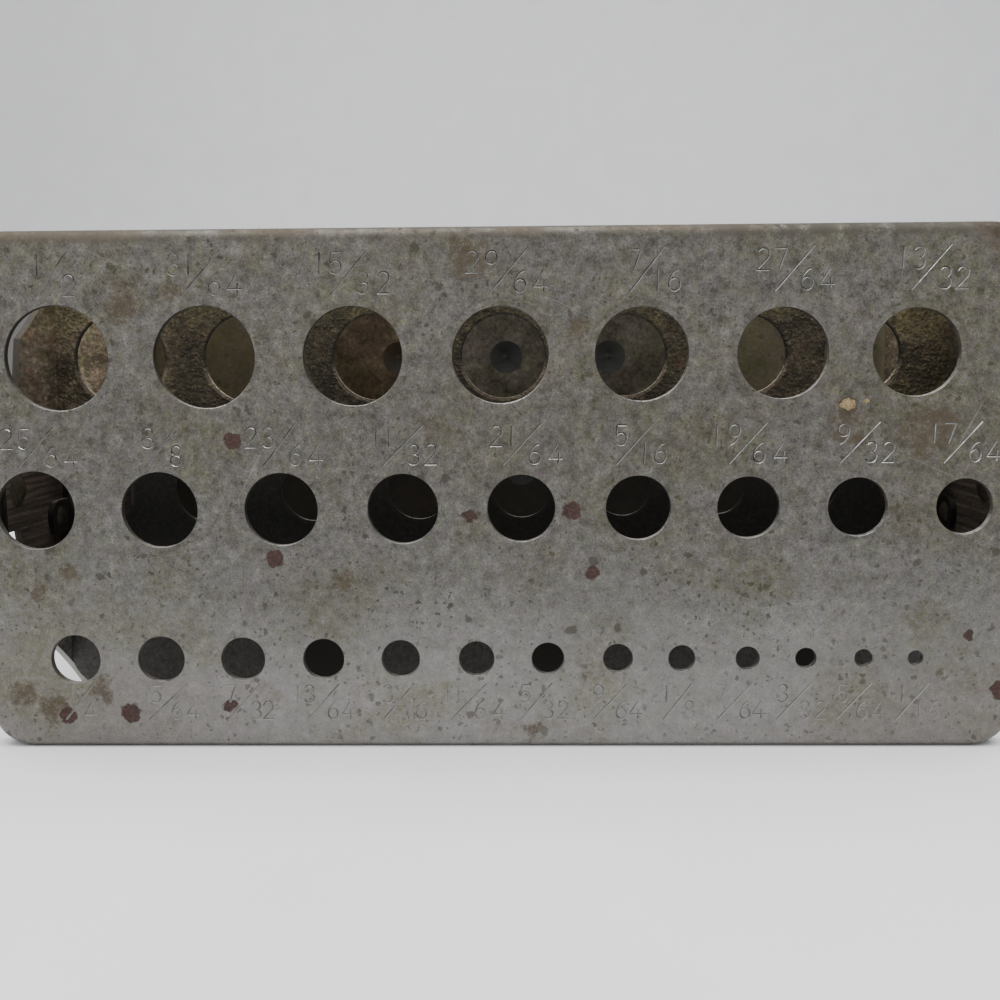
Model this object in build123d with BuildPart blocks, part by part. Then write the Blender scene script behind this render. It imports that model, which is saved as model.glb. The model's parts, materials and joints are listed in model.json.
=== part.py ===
from build123d import *
from math import radians, tan
import os

# Drill bit index: a steel stand whose drawn cover holds 29 drills in three rows.
# The stand lies on one long side, as it is pictured. X runs along the cover, Y runs back from the
# pierced face towards the base, and Z is up. The origin is the middle of the whole stand's underside.
# Turned so that its base is down, the stand holds the drills upright. All sizes are in millimetres.

os.makedirs("parts", exist_ok=True)

# The stand as a whole
cover_length = 139.7
cover_width = 69.85
stand_height = 57.15

# The cover, drawn from sheet, with a shallow skirt all round
cover_sheet = 1.0
skirt_depth = 4.2
corner_radius = 5.5
inner_bend = 0.5
rim_round = 0.15

# The tab at the middle of each end of the skirt
tab_width = 12.0
tab_reach = 12.2
tab_corner = 2.0
tab_root_radius = 0.9

# The shelf that guides the drills below the cover, and the tabs that hold it to the ends
guide_sheet = 0.8
guide_depth = 23.4
guide_margin = 1.7
guide_corner = 5.5
guide_tab_width = 5.0
guide_tab_height = 5.8
guide_tab_spacing = 11.1
guide_tab_corner = 2.3

# The end plates: a tongue behind the cover's tab, then shoulders, then a flare to the full width
end_sheet = 1.0
end_top_depth = 4.7
end_top_width = 11.4
end_top_corner = 1.5
end_neck_depth = 8.4
end_neck_radius = 0.9
end_shoulder_depth = 12.0
end_shoulder_width = 42.4
end_shoulder_corner = 2.0
end_flare_depth = 29.3
end_flare_bow = 0.6
end_lower_corner = 2.0
end_margin = 0.6
foot_width = 8.4
foot_length = 8.0
foot_corner = 2.0
foot_bend = 0.5
foot_relief = 0.4
foot_low_height = 15.5

# The base, thick enough for a conical seat under each large drill
base_thickness = 2.2
base_corner = 5.5
seat_radius = 2.9
seat_angle = 130.0

# The rivets, and the room between a shank and its hole
rivet_room = 0.05
rivet_radius = 1.2
rivet_head_radius = 2.4
rivet_head_height = 0.9
guide_rivet_radius = 0.8
guide_rivet_head_radius = 1.6
guide_rivet_head_height = 0.6
sunk_head_radius = 2.1
sunk_head_angle = 90.0

# The rows of drill holes, and where they lie: down from the upper long side of the cover, down from
# its middle, and up from its lower long side
upper_row_inset = 16.65
middle_row_drop = 1.975
lower_row_inset = 12.45

# How much wider the holes of each row are than their drills
upper_row_room = 1.1
middle_row_room = 0.65
lower_row_room = 0.35

# How far the first and the last hole of each row lie from the ends of the cover
upper_row_ends = (12.05, 14.9)
middle_row_ends = (8.05, 7.9)
lower_row_ends = (12.4, 13.55)

# Planes and places that the pieces share
face_y = -stand_height / 2
back_y = stand_height / 2
base_front_y = back_y - base_thickness
foot_front_y = base_front_y - end_sheet
end_lower_y = foot_front_y - foot_bend - foot_relief
guide_y = face_y + guide_depth
middle_z = cover_width / 2
end_outer_x = cover_length / 2 - cover_sheet
end_inner_x = end_outer_x - end_sheet
sheet_middle_x = (end_outer_x + end_inner_x) / 2
foot_rivet_x = end_inner_x - foot_length / 2
cover_rivet_y = face_y + (skirt_depth + tab_reach) / 2
guide_rivet_y = guide_y - guide_tab_height / 2
guide_rivet_heights = (middle_z - guide_tab_spacing / 2, middle_z + guide_tab_spacing / 2)
seat_depth = seat_radius / tan(radians(seat_angle / 2))
sunk_head_depth = (sunk_head_radius - rivet_radius) / tan(radians(sunk_head_angle / 2))

# Each row: its height, its room and its ends, its largest drill in 64ths of an inch, each next one a
# 64th smaller, and how its length is shared out from hole to hole
upper_row = (cover_width - upper_row_inset, upper_row_room, upper_row_ends, 32,
             (19.6, 19.6, 19.4, 18.5, 18.35, 17.3))
middle_row = (middle_z - middle_row_drop, middle_row_room, middle_row_ends, 25,
              (16.8, 16.35, 16.3, 15.8, 15.55, 14.55, 14.4, 14.0))
lower_row = (lower_row_inset, lower_row_room, lower_row_ends, 16,
             (11.75, 11.2, 11.0, 10.5, 10.3, 9.65, 9.45, 8.6, 8.85, 7.8, 7.7, 6.95))
guided_rows = (upper_row, middle_row)
rows = guided_rows + (lower_row,)
foot_heights = (foot_low_height, (upper_row[0] + middle_row[0]) / 2)


def facing_front(y):
    """A plane at this depth whose normal points out of the pierced face."""
    return Plane(origin=(0, y, 0), x_dir=(1, 0, 0), z_dir=(0, -1, 0))


def facing_end(x, side, y=0.0, z=middle_z):
    """A plane at this distance from the middle whose normal points out of one end."""
    return Plane(origin=(side * x, y, z), x_dir=(0, 1, 0), z_dir=(side, 0, 0))


def drill_holes(chosen_rows):
    """The radius and the place of each drill hole of some rows, in the plane of the face."""
    for height, room, ends, largest, pitches in chosen_rows:
        stretch = (cover_length - sum(ends)) / sum(pitches)
        for step in range(len(pitches) + 1):
            x = ends[0] - cover_length / 2 + stretch * sum(pitches[:step])
            drill = (largest - step) / 64 * IN
            yield (drill + room) / 2, (x, height)


def domed_rivet(grip, radius, head_radius, head_height):
    """A rivet along Z, headed at both ends, whose outer head stands on the plane of X and Y."""
    shank = radius - rivet_room
    with BuildPart() as rivet:
        with BuildSketch(Plane.XZ):
            with BuildLine():
                TangentArc((0, head_height), (head_radius, 0), tangent=(1, 0))
                Polyline((head_radius, 0), (shank, 0), (shank, -grip), (head_radius, -grip))
                TangentArc((0, -grip - head_height), (head_radius, -grip), tangent=(1, 0))
                Line((0, -grip - head_height), (0, head_height))
            make_face()
        revolve(axis=Axis.Z)
    return rivet.part


def sunk_rivet(grip, radius, head_radius, head_height):
    """A rivet along Z with a domed head on the plane of X and Y and a flush one at its far end."""
    shank = radius - rivet_room
    sunk = sunk_head_radius - rivet_room
    with BuildPart() as rivet:
        with BuildSketch(Plane.XZ):
            with BuildLine():
                TangentArc((0, head_height), (head_radius, 0), tangent=(1, 0))
                Polyline((head_radius, 0), (shank, 0), (shank, sunk_head_depth - grip), (sunk, -grip),
                         (0, -grip), (0, head_height))
            make_face()
        revolve(axis=Axis.Z)
    return rivet.part


with BuildPart() as top_cover:
    with BuildSketch(facing_front(face_y)):
        with Locations((0, middle_z)):
            RectangleRounded(cover_length, cover_width, corner_radius)
    extrude(amount=-skirt_depth)
    fillet(top_cover.faces().sort_by(Axis.Y)[0].edges(), radius=inner_bend + cover_sheet)
    with BuildSketch(facing_front(face_y + skirt_depth)):
        with Locations((0, middle_z)):
            RectangleRounded(cover_length - 2 * cover_sheet, cover_width - 2 * cover_sheet,
                             corner_radius - cover_sheet)
    extrude(amount=skirt_depth - cover_sheet, mode=Mode.SUBTRACT)
    ceiling = top_cover.faces().filter_by(Axis.Y).sort_by(Axis.Y)[1]
    fillet(ceiling.edges(), radius=inner_bend)
    for side in (-1, 1):
        with BuildSketch(facing_end(cover_length / 2, side)) as tab:
            with Locations((cover_rivet_y, 0)):
                Rectangle(tab_reach - skirt_depth, tab_width)
            with Locations((face_y + skirt_depth - tab_root_radius / 2, 0)):
                Rectangle(tab_root_radius, tab_width + 4 * tab_root_radius)
            fillet(tab.vertices().group_by(Axis.X)[-1], radius=tab_corner)
            roots = tab.vertices().group_by(Axis.X)[1].sort_by(Axis.Y)[1:-1]
            fillet(roots, radius=tab_root_radius)
        extrude(amount=-cover_sheet)
        with Locations(facing_end(cover_length / 2, side, cover_rivet_y)):
            Hole(radius=rivet_radius, depth=cover_sheet)
    with BuildSketch(facing_front(face_y)):
        for radius, place in drill_holes(rows):
            with Locations(place):
                Circle(radius)
    extrude(amount=-cover_sheet, mode=Mode.SUBTRACT)
    rims = top_cover.faces().sort_by(Axis.Y)[0].inner_wires().edges()
    fillet(rims, radius=rim_round)
top_cover.part.label = "top_cover"
export_step(top_cover.part, "parts/top_cover.step")

with BuildPart() as guide_plate:
    with BuildSketch(facing_front(guide_y)):
        with Locations((0, middle_z)):
            RectangleRounded(2 * end_inner_x, cover_width - 2 * guide_margin, guide_corner)
        for radius, place in drill_holes(guided_rows):
            with Locations(place):
                Circle(radius, mode=Mode.SUBTRACT)
    extrude(amount=-guide_sheet)
    for side in (-1, 1):
        with BuildSketch(facing_end(end_inner_x, side)) as guide_tab:
            with Locations((guide_y + (guide_sheet - guide_tab_height) / 2, 0)):
                with GridLocations(0, guide_tab_spacing, 1, 2):
                    Rectangle(guide_tab_height + guide_sheet, guide_tab_width)
            fillet(guide_tab.vertices().group_by(Axis.X)[0], radius=guide_tab_corner)
        extrude(amount=-guide_sheet)
        for height in guide_rivet_heights:
            with Locations(facing_end(end_inner_x, side, guide_rivet_y, height)):
                Hole(radius=guide_rivet_radius, depth=guide_sheet)
guide_plate.part.label = "guide_plate"
export_step(guide_plate.part, "parts/guide_plate.step")

for side, name in ((-1, "left_end_plate"), (1, "right_end_plate")):
    with BuildPart() as end_plate:
        with BuildSketch(facing_end(end_outer_x, side)) as outline:
            with BuildLine():
                upper = Polyline(
                    (face_y + end_shoulder_depth, -end_shoulder_width / 2),
                    (face_y + end_neck_depth, -end_top_width / 2),
                    (face_y + end_top_depth, -end_top_width / 2),
                    (face_y + end_top_depth, end_top_width / 2),
                    (face_y + end_neck_depth, end_top_width / 2),
                    (face_y + end_shoulder_depth, end_shoulder_width / 2),
                )
                lower = Polyline(
                    (face_y + end_flare_depth, middle_z - end_margin),
                    (end_lower_y, middle_z - end_margin),
                    (end_lower_y, end_margin - middle_z),
                    (face_y + end_flare_depth, end_margin - middle_z),
                )
                SagittaArc(upper @ 1, lower @ 0, -end_flare_bow)
                SagittaArc(lower @ 1, upper @ 0, -end_flare_bow)
            make_face()
            corners = outline.vertices().group_by(Axis.X)
            fillet(corners[-1], radius=end_lower_corner)
            fillet(corners[2], radius=end_shoulder_corner)
            fillet(corners[1], radius=end_neck_radius)
            fillet(corners[0], radius=end_top_corner)
        extrude(amount=-end_sheet)
        for height in foot_heights:
            with BuildSketch(Plane.XY.offset(height - foot_width / 2)):
                with BuildLine():
                    FilletPolyline(
                        (side * sheet_middle_x, end_lower_y),
                        (side * sheet_middle_x, base_front_y - end_sheet / 2),
                        (side * (end_inner_x - foot_length), base_front_y - end_sheet / 2),
                        radius=foot_bend + end_sheet / 2,
                    )
                trace(line_width=end_sheet)
            extrude(amount=foot_width)
            with Locations(Plane(origin=(side * foot_rivet_x, foot_front_y, height), z_dir=(0, -1, 0))):
                Hole(radius=rivet_radius, depth=end_sheet)
        toe_corners = end_plate.edges().filter_by(Axis.Y).group_by(Axis.X)[-1 if side < 0 else 0]
        fillet(toe_corners, radius=foot_corner)
        with Locations(facing_end(end_outer_x, side, cover_rivet_y)):
            Hole(radius=rivet_radius, depth=end_sheet)
        for height in guide_rivet_heights:
            with Locations(facing_end(end_outer_x, side, guide_rivet_y, height)):
                Hole(radius=guide_rivet_radius, depth=end_sheet)
    end_plate.part.label = name
    export_step(end_plate.part, f"parts/{name}.step")

with BuildPart() as base_plate:
    with BuildSketch(facing_front(base_front_y)):
        with Locations((0, middle_z)):
            RectangleRounded(cover_length, cover_width, base_corner)
    extrude(amount=-base_thickness)
    for radius, (x, height) in drill_holes(guided_rows):
        with Locations(Plane(origin=(x, base_front_y, height), z_dir=(0, -1, 0))):
            Cone(0, seat_radius, seat_depth, align=(Align.CENTER, Align.CENTER, Align.MAX), mode=Mode.SUBTRACT)
    for side in (-1, 1):
        for height in foot_heights:
            with Locations(Plane(origin=(side * foot_rivet_x, back_y, height), z_dir=(0, 1, 0))):
                CounterSinkHole(rivet_radius, sunk_head_radius, base_thickness, sunk_head_angle)
base_plate.part.label = "base_plate"
export_step(base_plate.part, "parts/base_plate.step")

with BuildPart() as cover_rivets:
    one_rivet = domed_rivet(cover_sheet + end_sheet, rivet_radius, rivet_head_radius, rivet_head_height)
    with Locations(*(facing_end(cover_length / 2, side, cover_rivet_y) for side in (-1, 1))):
        add(one_rivet)
cover_rivets.part.label = "cover_rivets"
export_step(cover_rivets.part, "parts/cover_rivets.step")

with BuildPart() as guide_rivets:
    one_rivet = domed_rivet(end_sheet + guide_sheet, guide_rivet_radius, guide_rivet_head_radius,
                            guide_rivet_head_height)
    for height in guide_rivet_heights:
        with Locations(*(facing_end(end_outer_x, side, guide_rivet_y, height) for side in (-1, 1))):
            add(one_rivet)
guide_rivets.part.label = "guide_rivets"
export_step(guide_rivets.part, "parts/guide_rivets.step")

with BuildPart() as base_rivets:
    one_rivet = sunk_rivet(end_sheet + base_thickness, rivet_radius, rivet_head_radius, rivet_head_height)
    for side in (-1, 1):
        for height in foot_heights:
            with Locations(Plane(origin=(side * foot_rivet_x, foot_front_y, height), z_dir=(0, -1, 0))):
                add(one_rivet)
base_rivets.part.label = "base_rivets"
export_step(base_rivets.part, "parts/base_rivets.step")
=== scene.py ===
"""Looks of the drill bit index: stamped sizes, aged sheet steel, rust, grime, light and camera."""

import json
from collections import namedtuple
from functools import reduce
from math import cos, radians, sin

import bmesh
import bpy
from mathutils import Matrix, Vector, noise


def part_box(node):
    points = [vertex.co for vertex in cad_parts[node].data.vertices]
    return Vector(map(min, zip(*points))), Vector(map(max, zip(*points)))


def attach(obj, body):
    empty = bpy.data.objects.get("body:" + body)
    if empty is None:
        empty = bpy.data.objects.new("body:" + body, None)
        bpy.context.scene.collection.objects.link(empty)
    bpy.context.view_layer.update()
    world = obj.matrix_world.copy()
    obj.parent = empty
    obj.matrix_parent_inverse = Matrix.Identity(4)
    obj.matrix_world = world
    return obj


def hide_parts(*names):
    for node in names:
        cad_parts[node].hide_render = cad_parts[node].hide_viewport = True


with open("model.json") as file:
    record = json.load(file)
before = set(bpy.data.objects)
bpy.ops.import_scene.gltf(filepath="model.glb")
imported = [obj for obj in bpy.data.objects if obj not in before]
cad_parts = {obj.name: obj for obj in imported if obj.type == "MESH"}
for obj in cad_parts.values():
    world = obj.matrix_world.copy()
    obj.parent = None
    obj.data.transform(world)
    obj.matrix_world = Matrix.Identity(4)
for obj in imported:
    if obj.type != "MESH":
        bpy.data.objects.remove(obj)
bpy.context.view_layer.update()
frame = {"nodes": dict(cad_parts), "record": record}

MM = 0.001
FACE_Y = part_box("top_cover")[0][1]
FACE_MM = FACE_Y / MM

# Each hole's middle across and up, and its radius, in millimetres
Hole = namedtuple("Hole", "x z radius")
holes = {}
for mount in frame["record"]["mounts"]:
    if mount["kind"] == "bore":
        across, _, up = mount["pos_m"]
        holes["/".join(mount["name"].split("_")[-2:])] = Hole(across / MM, up / MM, mount["dims"]["r_mm"])


class Shader:
    """Builds one procedural material, with coordinates in millimetres."""

    def __init__(self, name):
        self.material = bpy.data.materials.new(name)
        self.material.use_nodes = True
        self.tree = self.material.node_tree
        self.tree.nodes.clear()
        output = self.tree.nodes.new("ShaderNodeOutputMaterial")
        self.bsdf = self.tree.nodes.new("ShaderNodeBsdfPrincipled")
        self.tree.links.new(self.bsdf.outputs[0], output.inputs[0])
        coordinates = self.tree.nodes.new("ShaderNodeTexCoord")
        self.place = self.vector("SCALE", coordinates.outputs["Object"], scale=1 / MM)

    def put(self, socket, value):
        """Links a socket to a node's output, or sets its value."""
        if isinstance(value, bpy.types.NodeSocket):
            self.tree.links.new(value, socket)
        else:
            socket.default_value = value

    def vector(self, operation, a, b=None, scale=None):
        node = self.tree.nodes.new("ShaderNodeVectorMath")
        node.operation = operation
        self.put(node.inputs[0], a)
        if b is not None:
            self.put(node.inputs[1], b)
        if scale is not None:
            self.put(node.inputs["Scale"], scale)
        return node.outputs["Value" if operation in ("DISTANCE", "DOT_PRODUCT") else "Vector"]

    def math(self, operation, a, b=0.0, c=0.0, clamp=False):
        node = self.tree.nodes.new("ShaderNodeMath")
        node.operation = operation
        node.use_clamp = clamp
        for socket, value in zip(node.inputs, (a, b, c)):
            self.put(socket, value)
        return node.outputs[0]

    def times(self, *factors):
        return reduce(lambda a, b: self.math("MULTIPLY", a, b), factors)

    def plus(self, *terms):
        return reduce(lambda a, b: self.math("ADD", a, b), terms)

    def most(self, *values):
        """The largest of the values."""
        return reduce(lambda a, b: self.math("MAXIMUM", a, b), values)

    def least(self, *values):
        """The smallest of the values."""
        return reduce(lambda a, b: self.math("MINIMUM", a, b), values)

    def scaled(self, value, factor, offset):
        """The value times a factor, plus an offset."""
        return self.math("MULTIPLY_ADD", value, factor, offset)

    def magnitude(self, value):
        """The value without its sign."""
        return self.math("ABSOLUTE", value)

    def step(self, value, low, high):
        """0 below low and 1 above high, or the other way round when low is the larger."""
        node = self.tree.nodes.new("ShaderNodeMapRange")
        node.interpolation_type = "SMOOTHSTEP"
        self.put(node.inputs["Value"], value)
        node.inputs["From Min"].default_value = min(low, high)
        node.inputs["From Max"].default_value = max(low, high)
        if low > high:
            node.inputs["To Min"].default_value, node.inputs["To Max"].default_value = 1.0, 0.0
        return node.outputs["Result"]

    def noise(self, scale, detail, roughness, shift=(0.0, 0.0, 0.0), place=None, output="Fac"):
        """Noise whose features are about 1 / scale millimetres across."""
        place = self.place if place is None else place
        if any(shift):
            place = self.vector("ADD", place, shift)
        node = self.tree.nodes.new("ShaderNodeTexNoise")
        self.put(node.inputs["Vector"], place)
        node.inputs["Scale"].default_value = scale
        node.inputs["Detail"].default_value = detail
        node.inputs["Roughness"].default_value = roughness
        return node.outputs[output]

    def cells(self, scale, shift, place, output="Distance"):
        """Random cells about 1 / scale millimetres across: the distance to the nearest middle, or its colour."""
        node = self.tree.nodes.new("ShaderNodeTexVoronoi")
        self.put(node.inputs["Vector"], self.vector("ADD", place, shift))
        node.inputs["Scale"].default_value = scale
        return node.outputs[output]

    def dots(self, scale, smallest, largest, place, shift=(0.0, 0.0, 0.0)):
        """1 inside round dots with random radii between two, in millimetres; a radius under 0 leaves none."""
        random = self.across(self.cells(scale, shift, place, "Color"))[0]
        radius = self.scaled(random, (largest - smallest) * scale, smallest * scale)
        return self.step(self.math("SUBTRACT", self.cells(scale, shift, place), radius), 0.04, -0.04)

    def mix(self, amount, a, b, blend="MIX"):
        """Colour a, turned into b as far as the amount says."""
        node = self.tree.nodes.new("ShaderNodeMix")
        node.data_type = "RGBA"
        node.blend_type = blend
        self.put(node.inputs["Factor"], amount)
        for socket, value in zip((s for s in node.inputs if s.type == "RGBA"), (a, b)):
            self.put(socket, (*value, 1.0) if isinstance(value, tuple) else value)
        return next(s for s in node.outputs if s.type == "RGBA")

    def tinted(self, amount, colour, tint):
        """The colour multiplied by a tint, as far as the amount says."""
        return self.mix(amount, colour, tint, "MULTIPLY")

    def ramp(self, value, *stops):
        """A colour ramp: (place, (r, g, b)) stops."""
        node = self.tree.nodes.new("ShaderNodeValToRGB")
        self.put(node.inputs[0], value)
        ramp = node.color_ramp
        while len(ramp.elements) < len(stops):
            ramp.elements.new(0.5)
        for element, (place, colour) in zip(ramp.elements, stops):
            element.position = place
            element.color = (*colour, 1.0)
        return node.outputs[0]

    def warped(self, amount, scale, shift=(0.0, 0.0, 0.0)):
        """Coordinates pushed about by noise, by up to half the amount, in millimetres."""
        push = self.vector("SUBTRACT", self.noise(scale, 4.0, 0.6, shift, output="Color"), (0.5, 0.5, 0.5))
        return self.vector("ADD", self.place, self.vector("SCALE", push, scale=amount))

    def flattened(self, place):
        """Coordinates without their depth behind the pierced face."""
        return self.vector("MULTIPLY", place, (1.0, 0.0, 1.0))

    def across(self, place=None):
        """The X, Y and Z of the coordinates."""
        node = self.tree.nodes.new("ShaderNodeSeparateXYZ")
        self.put(node.inputs[0], self.place if place is None else place)
        return node.outputs

    def facet(self):
        """The direction that the flat surface faces."""
        return self.tree.nodes.new("ShaderNodeNewGeometry").outputs["True Normal"]

    def spots(self, places, warp):
        """1 in the middle of each spot (x, z, radius) on the pierced face, fading to 0 at its edge."""
        flat = self.flattened(warp)
        parts = [self.math("DIVIDE", self.vector("DISTANCE", flat, (x, 0.0, z)), radius) for x, z, radius in places]
        return self.most(*(self.math("SUBTRACT", 1.0, part, clamp=True) for part in parts))

    def bump(self, height, distance, strength):
        """A surface normal raised by the height, over a distance in metres."""
        node = self.tree.nodes.new("ShaderNodeBump")
        self.put(node.inputs["Height"], height)
        node.inputs["Distance"].default_value = distance
        node.inputs["Strength"].default_value = strength
        return node.outputs[0]

    def finish(self, colour, roughness, metallic, normal=None):
        self.put(self.bsdf.inputs["Base Color"], colour)
        self.put(self.bsdf.inputs["Roughness"], roughness)
        self.put(self.bsdf.inputs["Metallic"], metallic)
        if normal is not None:
            self.put(self.bsdf.inputs["Normal"], normal)
        return self.material


# Places on the pierced face, in millimetres: (x, z, radius)
RUST_SPOTS = ((-34.9, 42.2, 1.55), (-29.7, 26.3, 1.5), (-3.4, 32.0, 1.2), (10.2, 32.6, 1.6), (13.0, 24.2, 1.2),
              (-59.0, 4.5, 1.5), (-50.2, 4.9, 1.7), (-36.5, 6.0, 1.2), (63.3, 15.5, 0.9), (67.7, 8.0, 1.7))
BROWN_SPOTS = ((-20.3, 22.9, 2.0), (-57.6, 24.2, 1.9), (-62.1, 22.4, 1.8), (10.8, 57.0, 2.2), (-48.7, 60.7, 3.4),
               (-65.2, 7.5, 2.0), (-42.2, 61.4, 1.8), (-61.0, 6.0, 3.2), (-54.4, 8.2, 2.4), (4.5, 2.7, 1.8),
               (57.0, 43.1, 5.0), (46.2, 44.0, 3.5), (-3.0, 66.0, 4.0))
OLIVE_FIELDS = ((57.0, 44.0, 17.0), (30.0, 43.0, 13.0), (2.0, 44.0, 12.0), (62.0, 62.0, 14.0), (-18.0, 61.0, 12.0),
                (18.0, 58.0, 11.0), (-60.0, 66.0, 16.0), (40.0, 66.0, 12.0), (-20.0, 22.0, 9.0),
                (-62.0, 24.0, 8.0), (-60.0, 7.0, 12.0), (58.0, 30.0, 9.0), (20.0, 30.0, 9.0))
# Holes with a faint ring above them, and the gap between rim and ring in millimetres
RINGS = (("29/64", 1.1), ("7/16", 0.9), ("13/32", 1.0))
# Scratches: (angle in degrees, how many across, shift)
SCRATCHES = ((8.0, 3.2, 2.0), (-24.0, 2.6, 17.0), (62.0, 2.2, 41.0))

DARK_GRIT = (0.020, 0.015, 0.009)


def mottled_with_painted_light(s, x, z, tone):
    """Grey steel, yellower up the face and darker towards its lower ends; painted light makes it darker up the face
    and brighter and more even towards its lower side, a painted reflection of the pale floor.
    """
    colour = s.ramp(tone, (0.40, (0.075, 0.071, 0.063)), (0.465, (0.160, 0.155, 0.149)),
                    (0.535, (0.243, 0.238, 0.229)), (0.61, (0.400, 0.393, 0.381)))
    tinge = s.noise(0.75, 5.0, 0.7, (61.0, 8.0, 2.0))
    colour = s.tinted(1.0, colour, s.ramp(tinge, (0.36, (1.05, 0.98, 1.04)), (0.50, (1.0, 1.0, 1.0)),
                                          (0.62, (0.97, 0.985, 0.86))))
    # Painted reflection of the pale floor: more even and brighter towards the lower side
    colour = s.mix(s.times(s.step(z, 36.0, 6.0), 0.6), colour, (0.215, 0.210, 0.202))
    # Painted light: darker up the face, with a yellower tinge
    painted_light_falloff = s.step(s.plus(z, s.times(s.noise(0.05, 3.0, 0.5), 14.0)), 12.0, 66.0)
    colour = s.tinted(1.0, colour, s.ramp(painted_light_falloff, (0.0, (1.02, 1.01, 1.01)), (0.06, (0.86, 0.86, 0.85)),
                                          (0.24, (0.625, 0.62, 0.595)), (0.55, (0.565, 0.555, 0.525)),
                                          (0.80, (0.565, 0.55, 0.515)), (1.0, (0.625, 0.61, 0.57))))
    ends = s.times(s.step(s.magnitude(s.plus(x, -2.0)), 25.0, 60.0), s.step(z, 24.0, 6.0))
    return s.tinted(ends, colour, (0.80, 0.785, 0.76))


def dark_specks(s, z):
    """Dark crisp specks of three sizes, fainter low down."""
    finer = s.vector("SUBTRACT", s.warped(0.5, 3.0, (7.0, 1.0, 2.0)), s.place)
    shaken = s.vector("ADD", s.warped(1.6, 0.9), finer)
    crowd = s.step(s.noise(0.13, 4.0, 0.6, (70.0, 1.0, 5.0)), 0.40, 0.60)
    large = s.times(s.dots(0.30, -0.60, 0.72, shaken), 0.75)
    small = s.times(s.dots(0.72, -0.20, 0.42, shaken, (9.0, 5.0, 3.0)), s.scaled(crowd, 0.45, 0.42))
    tiny = s.times(s.dots(1.5, -0.08, 0.23, shaken, (14.0, 3.0, 6.0)), s.scaled(crowd, 0.45, 0.35))
    return s.times(s.most(large, small, tiny), s.scaled(s.step(z, 22.0, 8.0), -0.3, 1.0))


def thin_scratches(s, x, z):
    """1 along thin straight scratches in three directions."""
    hairs = []
    for angle, density, offset in SCRATCHES:
        c, n = cos(radians(angle)), sin(radians(angle))
        line = s.tree.nodes.new("ShaderNodeCombineXYZ")
        s.put(line.inputs[0], s.times(s.plus(s.times(x, c), s.times(z, n)), 0.035))
        s.put(line.inputs[1], s.times(s.math("SUBTRACT", s.times(z, c), s.times(x, n)), density))
        s.put(line.inputs[2], offset)
        hairs.append(s.step(s.noise(1.0, 2.0, 0.5, place=line.outputs[0]), 0.72, 0.77))
    return s.most(*hairs)


def rusty_bend(s, x, z, colour):
    """Rust along the upper long bend, heaviest at its left end and at the upper right corner."""
    rust = s.times(s.step(z, 68.2, 69.4), s.step(s.noise(0.10, 4.0, 0.6, (1.0, 2.0, 3.0)), 0.47, 0.58))
    left = s.times(s.step(x, -43.0, -50.0), s.step(z, 67.8, 69.0))
    corner = s.step(s.plus(s.times(x, 0.8), z), 116.8, 119.6)
    flakes = s.noise(0.9, 6.0, 0.7, (6.0, 6.0, 6.0))
    rust = s.times(s.most(rust, left), s.step(flakes, 0.34, 0.56))
    rust = s.most(rust, s.times(corner, s.step(flakes, 0.28, 0.46)))
    colour = s.mix(s.times(rust, 0.82), colour, s.mix(corner, (0.125, 0.086, 0.055), (0.050, 0.034, 0.020)))
    bend = s.step(z, 67.6, 68.8)
    dull = s.times(bend, s.step(s.noise(0.35, 5.0, 0.7, (16.0, 2.0, 6.0)), 0.34, 0.58),
                   s.scaled(s.step(x, 10.0, 50.0), 0.28, 0.63))
    dull = s.most(dull, s.times(bend, s.step(x, 50.0, 62.0), 0.9))
    dull = s.times(dull, s.math("SUBTRACT", 1.0, corner))
    rightward = s.step(x, 5.0, 45.0)
    colour = s.mix(dull, colour, s.mix(rightward, (0.080, 0.071, 0.056), (0.060, 0.053, 0.041)))
    return colour, s.most(rust, s.times(dull, rightward))


def face_marks(s, z, colour, tone, flecks, facing):
    """Brown stains, dark red rust spots and the faint rings above three of the large holes."""
    ragged = s.times(s.plus(flecks, -0.5), 0.9)
    blot = s.spots(BROWN_SPOTS, s.warped(6.0, 0.28, (5.0, 25.0, 5.0)))
    stain = s.times(s.step(s.plus(blot, ragged), 0.08, 0.50), s.step(blot, 0.0, 0.15),
                    s.scaled(s.step(tone, 0.54, 0.47), 0.60, 0.40), facing)
    colour = s.mix(s.times(stain, 0.85), colour, (0.058, 0.042, 0.024))
    red = s.spots(RUST_SPOTS, s.warped(1.5, 0.8, (5.0, 5.0, 5.0)))
    red = s.times(s.step(s.plus(red, s.times(ragged, 0.5)), 0.14, 0.32), facing)
    deep = s.ramp(s.noise(2.2, 5.0, 0.7, (3.0, 9.0, 2.0)),
                  (0.38, (0.018, 0.011, 0.009)), (0.62, (0.066, 0.029, 0.023)))
    colour = s.mix(s.times(red, 0.95), colour, deep)
    flat = s.flattened(s.warped(0.25, 1.5))
    rings = []
    for label, gap in RINGS:
        hole = holes[label]
        away = s.plus(s.vector("DISTANCE", flat, (hole.x, 0.0, hole.z)), -hole.radius - gap)
        rings.append(s.times(s.step(s.magnitude(away), 0.28, 0.02), s.step(z, hole.z + 1.0, hole.z + 4.5), facing))
    return s.mix(s.times(s.most(*rings), 0.35), colour, (0.060, 0.056, 0.048)), s.most(red, stain)


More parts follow.
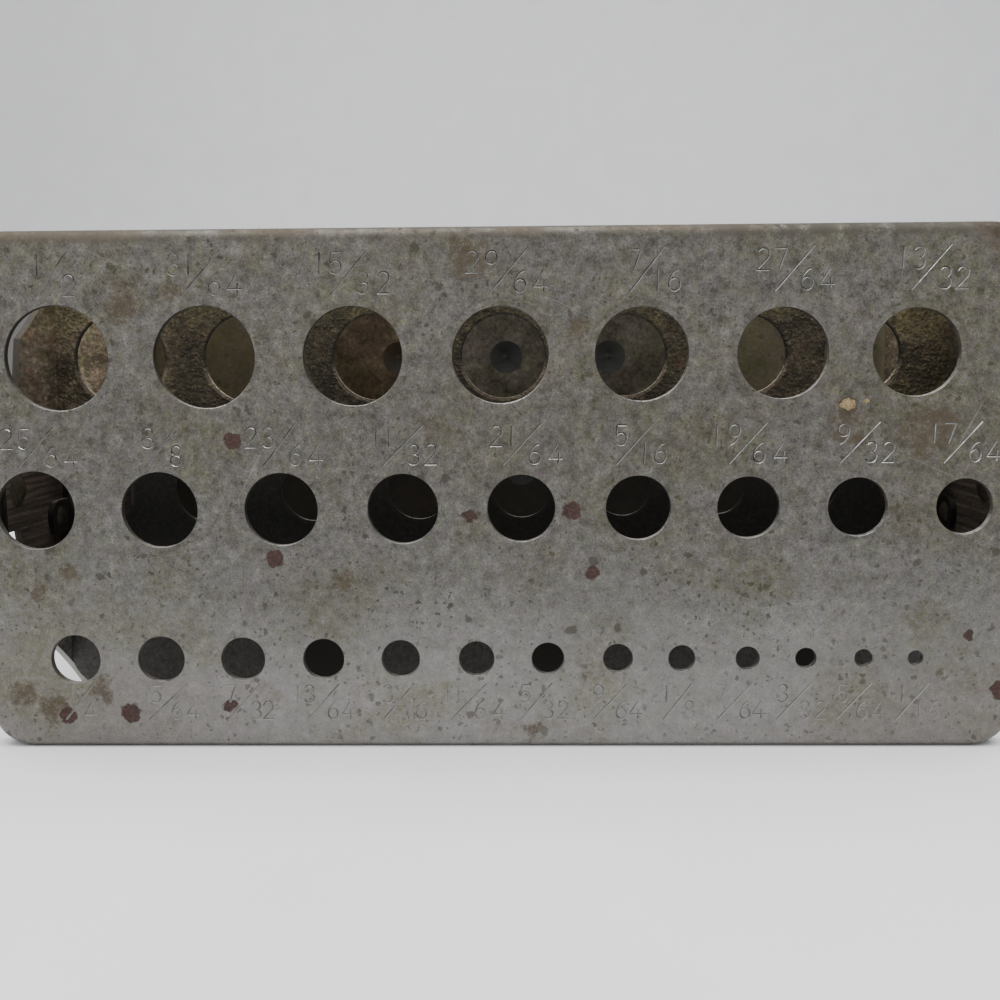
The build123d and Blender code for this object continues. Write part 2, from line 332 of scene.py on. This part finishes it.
def hole_rims(s, x, z, flecks, colour):
    """Hole rims: a painted highlight where they face up or left, painted shade where they face down or right, and
    dark all round in the lowest row.
    """
    facet = s.across(s.facet())
    inside = s.times(s.step(s.magnitude(x), 68.2, 67.9), s.step(z, 1.5, 1.8), s.step(z, 68.2, 67.9))
    turned = s.times(s.step(s.magnitude(facet[1]), 0.93, 0.72), inside)
    # Painted light on the rims' walls, set by the way each wall faces
    lit = s.math("SUBTRACT", s.times(facet[2], 0.92), s.times(facet[0], 0.40))
    lowest_row = s.step(z, 21.0, 19.0)
    shade = s.most(s.step(lit, 0.2, -0.3), s.times(lowest_row, 0.8))
    colour = s.mix(s.times(turned, shade, 0.75), colour, (0.045, 0.040, 0.034))
    # The painted highlight, weaker in the lower rows
    rim = s.times(turned, s.step(lit, 0.40, 0.98), s.step(flecks, 0.36, 0.54),
                  s.scaled(s.step(z, 42.0, 20.0), -0.55, 0.85))
    return s.mix(rim, colour, (0.66, 0.63, 0.60)), rim


def aged_steel(name, tint=(1.0, 1.0, 1.0), face=True):
    """Dull grey sheet steel with pits, scratches, rust and grime, and painted light that darkens it up the face;
    face adds the cover's own marks and the painted highlight and shade on its hole rims.
    """
    s = Shader(name)
    x, y, z = s.across()
    blotch = s.noise(0.55, 10.0, 0.75, (31.0, 7.0, 3.0))
    grain = s.noise(3.4, 5.0, 0.75, (3.0, 11.0, 5.0))
    powder = s.noise(7.0, 3.0, 0.8, (13.0, 1.0, 25.0))
    tone = s.plus(s.times(blotch, 0.42), s.times(grain, 0.32), s.times(powder, 0.26))
    colour = mottled_with_painted_light(s, x, z, tone)
    # Olive and brown grime in loose patches, made of fine flecks
    flecks = s.noise(1.15, 8.0, 0.75, (2.0, 5.0, 8.0))
    loose = s.noise(0.09, 5.0, 0.6, (9.0, 2.0, 40.0))
    if face:
        facing = s.step(y, FACE_MM + 2.6, FACE_MM + 2.0)
        fields = s.times(s.spots(OLIVE_FIELDS, s.warped(9.0, 0.12, (2.0, 2.0, 2.0))), facing)
        loose = s.plus(loose, s.times(fields, 0.24))
    olive = s.times(s.step(loose, 0.49, 0.68), s.step(flecks, 0.36, 0.60))
    colour = s.tinted(s.times(olive, 0.85), colour, (0.72, 0.715, 0.54))
    brown = s.times(s.step(s.noise(0.12, 4.0, 0.6, (50.0, 3.0, 12.0)), 0.54, 0.70),
                    s.step(s.noise(1.1, 7.0, 0.75, (20.0, 6.0, 1.0)), 0.42, 0.60))
    colour = s.tinted(s.times(brown, 0.60), colour, (0.62, 0.50, 0.40))
    pits = dark_specks(s, z)
    colour = s.mix(pits, colour, s.ramp(loose, (0.45, (0.038, 0.032, 0.025)), (0.60, (0.036, 0.034, 0.017))))
    colour = s.mix(s.times(thin_scratches(s, x, z), 0.16), colour, (0.40, 0.40, 0.39))
    colour, rust = rusty_bend(s, x, z, colour)
    wear = s.most(s.times(olive, 0.6), brown, pits, rust)
    if face:
        colour, marks = face_marks(s, z, colour, tone, flecks, facing)
        wear = s.most(wear, marks)
    colour = s.tinted(1.0, colour, tint)
    roughness = s.plus(s.times(blotch, 0.22), s.scaled(wear, 0.30, 0.36))
    metallic = s.math("SUBTRACT", 0.70, s.times(wear, 0.75), clamp=True)
    if face:
        # Painted highlight and shade on the hole rims
        colour, rim = hole_rims(s, x, z, flecks, colour)
        roughness = s.math("SUBTRACT", roughness, s.times(rim, 0.18))
        metallic = s.most(metallic, rim)
    s.put(s.bsdf.inputs["Specular IOR Level"], 0.3)
    height = s.math("SUBTRACT", s.plus(s.times(blotch, 0.5), s.times(grain, 0.5)), s.times(pits, 0.5))
    return s.finish(colour, roughness, metallic, s.bump(height, 0.00007, 0.6))


def above(s, z, clump, low, high):
    """1 above a ragged level across the sheet and 0 below it."""
    return s.step(s.plus(z, s.times(clump, 10.0)), low, high)


def rust_crust(s, z):
    """Brown and olive grains of rust and dust with dark gaps: clumps, grit, colour and height."""
    clump = s.noise(0.30, 6.0, 0.65, (4.0, 9.0, 1.0))
    grit = s.noise(1.7, 6.0, 0.75, (8.0, 3.0, 2.0))
    shaken = s.warped(0.5, 1.6)
    grains = s.cells(1.9, (1.0, 7.0, 3.0), shaken)
    coarse = s.cells(0.95, (5.0, 2.0, 8.0), shaken)
    tone = s.plus(s.times(clump, 0.40), s.times(grit, 0.60))
    dirt = s.ramp(tone, (0.36, DARK_GRIT), (0.46, (0.050, 0.041, 0.026)),
                  (0.55, (0.094, 0.078, 0.052)), (0.68, (0.24, 0.200, 0.140)))
    hue = s.noise(0.45, 4.0, 0.6, (40.0, 3.0, 9.0))
    dirt = s.tinted(s.step(hue, 0.54, 0.66), dirt, (1.0, 0.82, 0.76))
    olive = s.most(above(s, z, clump, 60.0, 66.0), s.step(hue, 0.50, 0.38))
    dirt = s.tinted(s.times(olive, 0.8), dirt, (0.96, 1.04, 0.76))
    fall = s.times(s.plus(z, -53.0), 0.012)
    rough = s.step(s.math("SUBTRACT", s.noise(0.16, 4.0, 0.6, (7.0, 7.0, 7.0)), fall), 0.44, 0.58)
    gap = s.times(s.most(s.step(grains, 0.40, 0.62), s.step(coarse, 0.48, 0.70)), rough)
    dirt = s.mix(s.times(gap, 0.65), dirt, DARK_GRIT)
    dirt = s.tinted(1.0, dirt, (1.0, 0.955, 0.87))
    lumps = s.plus(s.step(grains, 0.62, 0.05), s.times(s.step(coarse, 0.66, 0.05), 0.8))
    height = s.times(s.plus(s.times(grit, 0.7), s.times(lumps, 0.30)), s.scaled(rough, 0.60, 0.40))
    return clump, grit, dirt, height


# The guide plate has holes in line with the upper two rows
UPPER_Z, MIDDLE_Z = holes["1/2"].z, holes["25/64"].z
GUIDED = [hole for hole in holes.values() if hole.z >= MIDDLE_Z - 1.0]
# The camera sees the guide plate behind a hole this much farther out, and this far aside in millimetres
PARALLAX, ASIDE = 1.161, -0.6
# Dark patches on the guide plate behind three holes of the lowest row: (x, z, radius)
BEHIND = [(holes[label].x * PARALLAX + ASIDE, 6.0, 6.0) for label in ("13/64", "5/32", "3/32")]


def dusty_steel(name):
    """The guide plate: steel painted very dark for the shade inside the box and lighter low down for painted light,
    under a crust of brown rust grains and dust near its upper side.
    """
    s = Shader(name)
    x, _, z = s.across()
    clump, grit, dirt, height = rust_crust(s, z)
    # Painted light: the crust is brighter near the left end, where light comes in at the open end; it is also
    # brighter near the right end
    dirt = s.tinted(s.step(x, -47.0, -57.0), dirt, (2.0, 2.05, 2.2))
    dirt = s.tinted(s.step(x, 51.0, 55.0), dirt, (1.5, 1.5, 1.35))
    crust = above(s, z, clump, 43.0, 51.0)
    # Painted shade: the steel under the crust is very dark; painted light makes it lighter low down
    steel = s.ramp(grit, (0.34, (0.007, 0.0065, 0.0055)), (0.52, (0.013, 0.012, 0.010)),
                   (0.70, (0.028, 0.026, 0.022)))
    painted_light_steel = s.ramp(grit, (0.34, (0.040, 0.038, 0.034)), (0.70, (0.100, 0.097, 0.088)))
    steel = s.mix(s.step(z, 26.0, 18.0), steel, painted_light_steel)
    steel = s.mix(s.step(s.spots(BEHIND, s.place), 0.1, 0.5), steel, (0.016, 0.014, 0.010))
    colour = s.mix(crust, steel, dirt)
    # A band round each hole: painted shade above and painted light in tan below
    flat = s.flattened(s.warped(0.30, 1.4))
    near = s.least(*(s.plus(s.vector("DISTANCE", flat, (hole.x, 0.0, hole.z)), -hole.radius) for hole in GUIDED))
    row_z = s.scaled(s.step(z, 42.9, 43.1), UPPER_Z - MIDDLE_Z, MIDDLE_Z)
    under = s.step(s.math("SUBTRACT", z, row_z), 0.0, -2.5)
    near = s.math("SUBTRACT", near, s.times(under, 0.22))
    worn = s.times(s.step(near, 0.38, 0.12), s.scaled(crust, 0.6, 0.2))
    tan = s.mix(crust, (0.040, 0.036, 0.030), (0.21, 0.17, 0.12))
    colour = s.mix(worn, colour, s.mix(under, (0.010, 0.009, 0.006), tan))
    # The cut edges of the holes: a painted highlight where they face up, painted shade elsewhere
    facet = s.across(s.facet())
    edge = s.step(s.magnitude(facet[1]), 0.6, 0.3)
    upward = s.most(s.times(s.step(facet[2], 0.1, 0.7), crust), s.step(facet[2], 0.80, 0.99))
    upward = s.times(upward, s.step(grit, 0.34, 0.54), s.step(near, 1.2, 0.7))
    bright = s.mix(crust, (0.15, 0.142, 0.125), (0.42, 0.35, 0.26))
    colour = s.mix(edge, colour, s.mix(upward, (0.014, 0.012, 0.009), bright))
    metallic = s.math("SUBTRACT", 0.4, s.times(crust, 0.4), clamp=True)
    return s.finish(colour, s.scaled(crust, 0.25, 0.6), metallic, s.bump(s.times(height, crust), 0.0009, 1.0))


def outer_grime(s):
    """The outer sides of the base and the end plates: grey steel with loose brown and rusty patches."""
    tone = s.plus(s.times(s.noise(0.35, 9.0, 0.72, (5.0, 31.0, 12.0)), 0.6),
                  s.times(s.noise(2.8, 5.0, 0.75, (15.0, 1.0, 2.0)), 0.4))
    colour = s.ramp(tone, (0.38, (0.060, 0.056, 0.049)), (0.48, (0.118, 0.113, 0.104)),
                    (0.62, (0.225, 0.219, 0.207)))
    brown = s.times(s.step(s.noise(0.055, 6.0, 0.68, (2.0, 44.0, 9.0)), 0.47, 0.60),
                    s.step(s.noise(0.9, 6.0, 0.7, (8.0, 8.0, 3.0)), 0.34, 0.58))
    colour = s.mix(s.times(brown, 0.6), colour, (0.085, 0.058, 0.036))
    specks = s.dots(0.72, -0.20, 0.42, s.warped(1.4, 0.9), (2.0, 5.0, 13.0))
    return s.mix(s.times(specks, 0.6), colour, (0.034, 0.028, 0.020))


def end_dust(name):
    """The end plates: tan and olive dust and grains over grey steel, bare and darker low down; painted light
    brightens the dust, most on the left plate and towards the back, and a painted highlight lies on the cut edges
    at the bottom.
    """
    s = Shader(name)
    x, y, z = s.across()
    outside = outer_grime(s)
    # The crust is drawn out in depth, and runs on from the guide plate's without a seam
    s.place = s.vector("ADD", s.vector("MULTIPLY", s.place, (1.0, 0.4, 1.0)), (0.0, -3.1, 0.0))
    clump, grit, dirt, height = rust_crust(s, z)
    # Painted light: the dust is made brighter, most on the left plate and towards the back
    right = s.step(x, 0.0, 1.0)
    deep = s.plus(s.times(s.step(y, -6.0, -3.0), s.scaled(right, -0.9, 2.0)), s.scaled(right, -1.1, 2.1))
    dust = s.tinted(1.0, s.vector("SCALE", dirt, scale=deep), (0.98, 1.0, 1.16))
    bare = s.ramp(grit, (0.36, (0.045, 0.042, 0.036)), (0.52, (0.100, 0.096, 0.086)),
                  (0.68, (0.19, 0.183, 0.168)))
    streaks = s.noise(1.0, 5.0, 0.65, (3.0, 8.0, 1.0), s.vector("MULTIPLY", s.place, (1.0, 0.12, 1.5)))
    brown = s.ramp(streaks, (0.36, (0.014, 0.009, 0.006)), (0.50, (0.050, 0.036, 0.025)),
                   (0.64, (0.105, 0.080, 0.058)))
    brown = s.tinted(s.step(y, -12.0, -6.0), brown, (0.35, 0.33, 0.30))
    bare = s.mix(s.step(z, 19.0, 24.0), bare, brown)
    colour = s.mix(above(s, z, clump, 42.0, 54.0), bare, dust)
    outer = s.step(s.magnitude(x), 68.40, 68.60)
    colour = s.mix(outer, colour, outside)
    height = s.times(height, s.scaled(outer, -0.85, 1.0))
    # The plates' cut edges: dark, a little browner high up, with a painted highlight at the bottom
    edge = s.step(s.magnitude(s.across(s.facet())[0]), 0.7, 0.4)
    dark = s.mix(s.step(z, 40.0, 46.0), (0.022, 0.018, 0.012), (0.036, 0.031, 0.023))
    colour = s.mix(s.times(edge, 0.9), colour, s.mix(s.step(z, 20.0, 12.0), dark, (0.36, 0.35, 0.33)))
    return s.finish(colour, 0.78, 0.1, s.bump(height, 0.0004, 0.5))


def base_steel(name):
    """The base: dusty brown-grey steel, with darker seats for the drills, and painted shade that makes it dark low
    down inside.
    """
    s = Shader(name)
    x, y, z = s.across()
    blotch = s.noise(0.18, 8.0, 0.65, (14.0, 3.0, 9.0))
    grain = s.noise(1.3, 7.0, 0.78, (2.0, 3.0, 4.0))
    tone = s.plus(s.times(blotch, 0.5), s.times(grain, 0.5))
    colour = s.ramp(tone, (0.38, (0.016, 0.013, 0.009)), (0.46, (0.042, 0.037, 0.029)),
                    (0.56, (0.072, 0.066, 0.053)), (0.68, (0.135, 0.128, 0.108)))
    brown = s.ramp(tone, (0.38, (0.014, 0.009, 0.005)), (0.50, (0.050, 0.036, 0.022)),
                   (0.66, (0.125, 0.094, 0.062)))
    stain = s.step(s.plus(x, s.times(blotch, 8.0)), -3.0, -9.0)
    colour = s.mix(stain, colour, brown)
    away = s.plus(s.magnitude(s.plus(x, -2.0)), s.times(s.plus(blotch, -0.5), 16.0))
    colour = s.mix(s.times(s.step(away, 30.0, 45.0), 0.5), colour, (0.098, 0.086, 0.054))
    patchy = s.noise(0.22, 5.0, 0.65, (3.0, 3.0, 32.0))
    colour = s.tinted(1.0, colour, s.ramp(patchy, (0.36, (0.90, 0.96, 0.72)), (0.50, (1.0, 0.98, 0.90)),
                                          (0.60, (1.12, 1.03, 1.05))))
    colour = s.tinted(s.step(x, -32.0, -26.0), colour, (1.28, 1.26, 1.24))
    spots = s.dots(0.55, -0.20, 0.60, s.warped(2.2, 0.7), (6.0, 2.0, 9.0))
    colour = s.mix(s.times(spots, 0.42), colour, DARK_GRIT)
    # Painted shade: nearly black low down on the inner side
    inside = s.times(s.step(z, 46.0, 34.0), s.step(y, 27.4, 27.0))
    colour = s.mix(s.times(inside, 0.9), colour, (0.009, 0.008, 0.006))
    colour = s.mix(s.step(y, 27.6, 28.2), colour, outer_grime(s))
    # The seats: grey under the 29/64 hole, brown to its left and dusty to its right, with painted shade on their
    # walls that face up
    facet = s.across(s.facet())
    seat = s.times(s.step(s.magnitude(facet[1]), 0.97, 0.93), s.step(s.magnitude(facet[1]), 0.3, 0.6))
    hollow = s.mix(s.step(x, 8.0, 9.0), (0.050, 0.037, 0.023), (0.050, 0.053, 0.045))
    hollow = s.mix(s.step(s.magnitude(s.plus(x, -0.8)), 6.0, 5.0), hollow, (0.040, 0.041, 0.040))
    hollow = s.mix(s.step(facet[2], -0.2, 0.4), hollow, s.mix(0.78, hollow, (0.0, 0.0, 0.0)))
    colour = s.mix(s.times(seat, 0.96), colour, hollow)
    s.put(s.bsdf.inputs["Specular IOR Level"], 0.25)
    return s.finish(colour, s.scaled(grain, 0.3, 0.50), 0.15, s.bump(tone, 0.0003, 0.8))


def floor_cloth(name):
    """The pale floor and backdrop, with a patch of painted shade low on the left of the backdrop's curve."""
    s = Shader(name)
    x, y, z = s.across()
    colour = s.ramp(s.noise(0.03, 3.0, 0.5), (0.3, (0.91, 0.91, 0.93)), (0.7, (0.95, 0.95, 0.965)))
    painted_backdrop_shade = s.times(s.step(y, 700.0, 1000.0), s.step(z, 230.0, 140.0), s.step(x, -300.0, -500.0))
    return s.finish(s.mix(s.times(painted_backdrop_shade, 0.92), colour, (0.13, 0.125, 0.115)), 0.9, 0.0)


def tan_crumb(name):
    """The tan crumbs that lie on the face."""
    s = Shader(name)
    colour = s.ramp(s.noise(2.5, 4.0, 0.6), (0.35, (0.14, 0.09, 0.042)), (0.65, (0.32, 0.24, 0.13)))
    return s.finish(colour, 0.8, 0.0)


def groove_steel(name, dark, bright, metallic, worn):
    """The walls of the stamped strokes: painted shade where they face down or right, a painted highlight where they
    face up or left.
    """
    s = Shader(name)
    # Painted light: the colour runs from dark to bright by the way each wall faces
    lit = s.vector("DOT_PRODUCT", s.facet(), (-0.40, 0.0, 0.92))
    patchy = s.times(s.plus(s.noise(0.9, 5.0, 0.7, (1.0, 4.0, 6.0)), -0.5), 1.6)
    colour = s.mix(s.step(s.plus(lit, patchy), -0.25, 0.65), dark, bright)
    faint = s.times(s.step(s.noise(0.45, 4.0, 0.6, (22.0, 4.0, 17.0)), 0.40, 0.60), worn)
    colour = s.mix(faint, colour, (0.19, 0.185, 0.175))
    return s.finish(colour, 0.36, s.scaled(faint, -0.4 * metallic, metallic))


cover_steel = aged_steel("cover_steel")
end_steel = end_dust("end_steel")
rivet_steel = aged_steel("rivet_steel", (0.50, 0.46, 0.40), False)
guide_steel = dusty_steel("guide_steel")
plate_steel = base_steel("plate_steel")
bright_stroke = groove_steel("bright_stroke", (0.050, 0.047, 0.040), (0.72, 0.72, 0.70), 0.9, 0.75)
dull_stroke = groove_steel("dull_stroke", (0.080, 0.074, 0.062), (0.230, 0.225, 0.210), 0.3, 0.85)
COVER_SLOTS = (cover_steel, bright_stroke, dull_stroke)


def arc(cx, cz, rx, rz, start, end, steps=12):
    """Points of an elliptical arc between two angles in degrees."""
    angles = (radians(start + (end - start) * i / steps) for i in range(steps + 1))
    return [(cx + rx * cos(a), cz + rz * sin(a)) for a in angles]


# The strokes of each digit, one unit high, about its middle across and from its foot up
SIX = (arc(0.0, 0.30, 0.27, 0.30, 0, 360, 16), arc(0.27, 0.30, 0.54, 0.70, 100, 180, 8))
DIGITS = {
    "1": ([(0.0, 0.0), (0.0, 1.0)],),
    "2": (arc(0.0, 0.72, 0.27, 0.28, 165, -35) + [(-0.28, 0.0)], [(-0.30, 0.0), (0.30, 0.0)]),
    "3": (arc(0.0, 0.76, 0.24, 0.24, 155, -90), arc(0.0, 0.26, 0.28, 0.26, 90, -155)),
    "4": ([(0.10, 1.0), (-0.32, 0.26)], [(-0.32, 0.26), (0.36, 0.26)], [(0.16, 0.55), (0.16, 0.0)]),
    "5": ([(0.26, 1.0), (-0.20, 1.0)], [(-0.20, 1.0), (-0.24, 0.54)], arc(0.0, 0.31, 0.28, 0.31, 145, -145)),
    "6": SIX,
    "7": ([(-0.28, 1.0), (0.28, 1.0)], [(0.28, 1.0), (-0.05, 0.0)]),
    "8": (arc(0.0, 0.76, 0.22, 0.24, 0, 360, 16), arc(0.0, 0.26, 0.27, 0.26, 0, 360, 16)),
    "9": tuple([(-px, 1.0 - pz) for px, pz in stroke] for stroke in SIX),
}
LEAN = 0.03

# Each row of labels, in millimetres from the holes' middles: the height of a digit, the feet of the
# upper and the lower digits, the slash's lower and upper end, the place of the strokes' material in
# COVER_SLOTS, and the strokes' width and depth. Each label: the places across of its upper digits, of
# the slash's lower and upper end, and of its lower digits.
Row = namedtuple("Row", "height upper_z lower_z slash_low slash_high slot width depth labels")
ROWS = (
    Row(2.75, 10.65, 8.10, 7.95, 13.75, 1, 0.25, 0.13, {
        "1/2": ((-1.9,), -2.3, 2.1, (2.1,)),
        "31/64": ((-3.6, -1.6), -2.7, 2.6, (1.7, 4.3)),
        "15/32": ((-4.1, -2.0), -2.7, 2.3, (1.5, 4.2)),
        "29/64": ((-3.6, -1.1), -1.4, 3.6, (2.6, 5.3)),
        "7/16": ((-1.1,), -1.7, 2.8, (1.9, 4.1)),
        "27/64": ((-2.9, -0.7), -1.3, 3.7, (2.8, 5.4)),
        "13/32": ((-2.3, -0.3), -1.1, 3.9, (3.1, 5.4))}),
    Row(2.65, 8.35, 5.95, 5.80, 11.25, 1, 0.25, 0.13, {
        "25/64": ((-3.4, -1.1), -1.9, 3.1, (2.5, 5.1)),
        "3/8": ((-1.2,), -1.5, 2.8, (2.5,)),
        "23/64": ((-3.8, -1.5), -2.2, 2.1, (2.1, 4.8)),
        "11/32": ((-3.4, -1.7), -2.6, 2.9, (1.5, 3.8)),
        "21/64": ((-3.3, -1.3), -2.4, 2.6, (1.8, 4.5)),
        "5/16": ((-2.4,), -3.0, 1.9, (0.7, 2.8)),
        "19/64": ((-4.4, -2.1), -2.7, 2.2, (1.2, 4.0)),
        "9/32": ((-2.2,), -2.6, 2.5, (1.4, 3.7)),
        "17/64": ((-4.4, -2.4), -3.0, 1.8, (1.0, 3.4))}),
    Row(2.40, -6.10, -8.40, -8.50, -3.45, 2, 0.30, 0.09, {
        "1/4": ((-0.7,), -1.8, 2.2, (1.6,)),
        "15/64": ((-2.3, -1.0), -2.0, 3.4, (1.8, 4.0)),
        "7/32": ((-1.9,), -2.4, 2.2, (1.5, 3.2)),
        "13/64": ((-3.7, -2.1), -2.4, 2.1, (1.1, 3.1)),
        "3/16": ((-1.9,), -2.5, 1.8, (1.0, 2.7)),
        "11/64": ((-4.0, -2.5), -3.5, 1.4, (0.4, 3.0)),
        "5/32": ((-3.1,), -3.7, 0.6, (0.0, 2.0)),
        "9/64": ((-2.6,), -3.2, 1.4, (0.5, 2.4)),
        "1/8": ((-2.0,), -2.4, 1.5, (1.1,)),
        "7/64": ((-3.5,), -3.9, 0.7, (-0.2, 1.6)),
        "3/32": ((-3.0,), -3.7, 0.9, (0.0, 2.1)),
        "5/64": ((-2.7,), -3.4, 1.2, (0.0, 2.2)),
        "1/16": ((-1.6,), -2.3, 2.0, (0.7, 2.7))}),
)
# How far the strokes' cutter stands out of the face, in millimetres
CUTTER_RISE = 0.06


def to_mesh(name, shape):
    """Turns a bmesh into a mesh and frees it."""
    mesh = bpy.data.meshes.new(name)
    shape.to_mesh(mesh)
    shape.free()
    return mesh


def add_object(name, data):
    """Adds an object with this data to the scene."""
    item = bpy.data.objects.new(name, data)
    bpy.context.scene.collection.objects.link(item)
    return item


def label_strokes(hole, label, row):
    """The strokes of one label: the slash and its digits, as points on the face in millimetres."""
    top_places, low_x, high_x, bottom_places = row.labels[label]
    yield [(hole.x + low_x, hole.z + row.slash_low), (hole.x + high_x, hole.z + row.slash_high)]
    top, bottom = label.split("/")
    for digits, places, foot in ((top, top_places, row.upper_z), (bottom, bottom_places, row.lower_z)):
        for digit, place in zip(digits, places):
            for stroke in DIGITS[digit]:
                yield [(hole.x + place + (px + LEAN * pz) * row.height, hole.z + foot + pz * row.height)
                       for px, pz in stroke]


def groove(shape, points, width, depth, slot):
    """Adds the cutter of one V-shaped stroke through points on the face, in millimetres."""
    half = width / 2 * (1 + CUTTER_RISE / depth)
    closed = (Vector(points[0]) - Vector(points[-1])).length < 1e-6
    points = [Vector(p) for p in (points[:-1] if closed else points)]
    count = len(points)
    rings = []
    for i, point in enumerate(points):
        before = points[i - 1] if closed or i else point
        after = points[(i + 1) % count] if closed or i < count - 1 else point
        way = (after - before).normalized()
        aside = Vector((-way.y, way.x)) * half
        corners = ((point + aside, -CUTTER_RISE), (point - aside, -CUTTER_RISE), (point, depth))
        rings.append([shape.verts.new((at.x * MM, FACE_Y + y * MM, at.y * MM)) for at, y in corners])
    faces = []
    for a, b in zip(rings, rings[1:] + rings[:1] if closed else rings[1:]):
        for j in range(3):
            faces.append(shape.faces.new((a[j], a[(j + 1) % 3], b[(j + 1) % 3], b[j])))
    if not closed:
        faces.append(shape.faces.new(rings[0][::-1]))
        faces.append(shape.faces.new(rings[-1]))
    for face in faces:
        face.material_index = slot
        face.smooth = True


strokes = bmesh.new()
for row in ROWS:
    for label in row.labels:
        for stroke in label_strokes(holes[label], label, row):
            groove(strokes, stroke, row.width, row.depth, row.slot)
bmesh.ops.recalc_face_normals(strokes, faces=strokes.faces)
cutter = add_object("stroke_cutter", to_mesh("stroke_cutter", strokes))

sheet = bmesh.new()
sheet.from_mesh(frame["nodes"]["top_cover"].data)
bmesh.ops.remove_doubles(sheet, verts=sheet.verts, dist=0.001 * MM)
cover = add_object("stamped_cover", to_mesh("plain_cover", sheet))
for name in ("custom_normal", "sharp_edge", "sharp_face"):
    if name in cover.data.attributes:
        cover.data.attributes.remove(cover.data.attributes[name])
for material in COVER_SLOTS:
    cover.data.materials.append(material)
    cutter.data.materials.append(material)
for face in cover.data.polygons:
    face.material_index = 0
    face.use_smooth = True
cut = cover.modifiers.new("strokes", "BOOLEAN")
cut.operation = "DIFFERENCE"
cut.solver = "EXACT"
cut.use_self = True
cut.object = cutter
stamped = bpy.data.meshes.new_from_object(cover.evaluated_get(bpy.context.evaluated_depsgraph_get()))
cover.modifiers.clear()
cover.data = stamped
bpy.data.objects.remove(cutter)
stamped.name = "stamped_cover"
stamped.set_sharp_from_angle(angle=radians(25))
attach(cover, "root")
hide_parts("top_cover")

for node, material in (("guide_plate", guide_steel), ("left_end_plate", end_steel), ("right_end_plate", end_steel),
                       ("base_plate", plate_steel), ("cover_rivets", rivet_steel), ("guide_rivets", rivet_steel),
                       ("base_rivets", rivet_steel)):
    for place in frame["nodes"][node].material_slots:
        place.material = material

# Crumbs on the face, in millimetres: (x, z, size)
CRUMBS = ((46.2, 46.5, 0.95), (48.6, 46.9, 0.38))
CRUMB_DEPTH, CRUMB_HEIGHT, CRUMB_STANDING = 0.45, 0.72, 0.12

crumb_material = tan_crumb("crumb_tan")
for number, (x, z, size) in enumerate(CRUMBS):
    lump = bmesh.new()
    bmesh.ops.create_icosphere(lump, subdivisions=4, radius=1.0)
    for vert in lump.verts:
        push = 1.0 + 0.35 * noise.noise(vert.co * 1.6 + Vector((number * 7.0, 3.0, 1.0)))
        push += 0.14 * noise.noise(vert.co * 5.0 + Vector((number * 3.0, 9.0, 4.0)))
        co = vert.co * push * size * MM
        vert.co = Vector((co.x + x * MM, FACE_Y - CRUMB_STANDING * size * MM + co.y * CRUMB_DEPTH,
                          co.z * CRUMB_HEIGHT + z * MM))
    crumb = add_object(f"crumb_{number + 1}", to_mesh(f"crumb_{number + 1}", lump))
    crumb.data.materials.append(crumb_material)
    crumb.data.shade_smooth()
    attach(crumb, "root")

# The floor and backdrop, in metres
FLOOR_FRONT, CURVE_START, CURVE_RADIUS, BACKDROP_TOP, HALF_WIDTH = -1.2, 0.9, 0.4, 1.6, 2.2


def backdrop():
    """A pale floor that curves up into a backdrop far behind the stand."""
    profile = [(FLOOR_FRONT, 0.0), (CURVE_START, 0.0)]
    for degrees in range(9, 91, 9):
        turn = radians(degrees)
        profile.append((CURVE_START + CURVE_RADIUS * sin(turn), CURVE_RADIUS - CURVE_RADIUS * cos(turn)))
    profile.append((CURVE_START + CURVE_RADIUS, BACKDROP_TOP))
    shape = bmesh.new()
    left, right = ([shape.verts.new((x, y, z)) for y, z in profile] for x in (-HALF_WIDTH, HALF_WIDTH))
    for i in range(len(profile) - 1):
        shape.faces.new((left[i], right[i], right[i + 1], left[i + 1]))
    floor = add_object("floor", to_mesh("floor", shape))
    floor.data.shade_smooth()
    floor.data.materials.append(floor_cloth("floor_cloth"))
    return floor


backdrop()


def area_light(name, place, target, size, power, colour):
    """A rectangular light that points from its place to a target."""
    data = bpy.data.lights.new(name, "AREA")
    data.shape = "RECTANGLE"
    data.size, data.size_y = size
    data.energy = power
    data.color = colour
    lamp = add_object(name, data)
    lamp.location = place
    lamp.rotation_euler = (Vector(target) - Vector(place)).to_track_quat("-Z", "Y").to_euler()


area_light("top_softbox", (0.03, -0.10, 0.95), (0.03, 0.0, 0.03), (1.2, 1.0), 18.0, (1.0, 0.985, 0.965))
area_light("front_softbox", (-0.45, -1.05, 0.75), (0.0, 0.0, 0.03), (0.9, 0.7), 4.0, (0.97, 0.985, 1.0))

world = bpy.data.worlds.new("pale_room")
world.use_nodes = True
background = world.node_tree.nodes["Background"]
background.inputs["Color"].default_value = (0.80, 0.83, 0.85, 1.0)
background.inputs["Strength"].default_value = 0.48
bpy.context.scene.world = world

# The camera stands where the fit to the holes' places and widths puts it
CAMERA_PLACE = (0.00368, -0.17365, 0.05224)
YAW, PITCH, ROLL = radians(1.209), radians(7.125), radians(-0.43)
forward = Vector((-sin(YAW) * cos(PITCH), cos(YAW) * cos(PITCH), -sin(PITCH)))
level = Vector((cos(YAW), sin(YAW), 0.0))
upright = level.cross(forward)
right = cos(ROLL) * level + sin(ROLL) * upright
up = cos(ROLL) * upright - sin(ROLL) * level
camera_data = bpy.data.cameras.new("camera")
camera_data.sensor_width = 36.0
camera_data.lens = 39.6
camera_data.clip_start = 0.01
camera = add_object("camera", camera_data)
camera.matrix_world = Matrix.Translation(CAMERA_PLACE) @ Matrix((right, up, -forward)).transposed().to_4x4()
bpy.context.scene.camera = camera
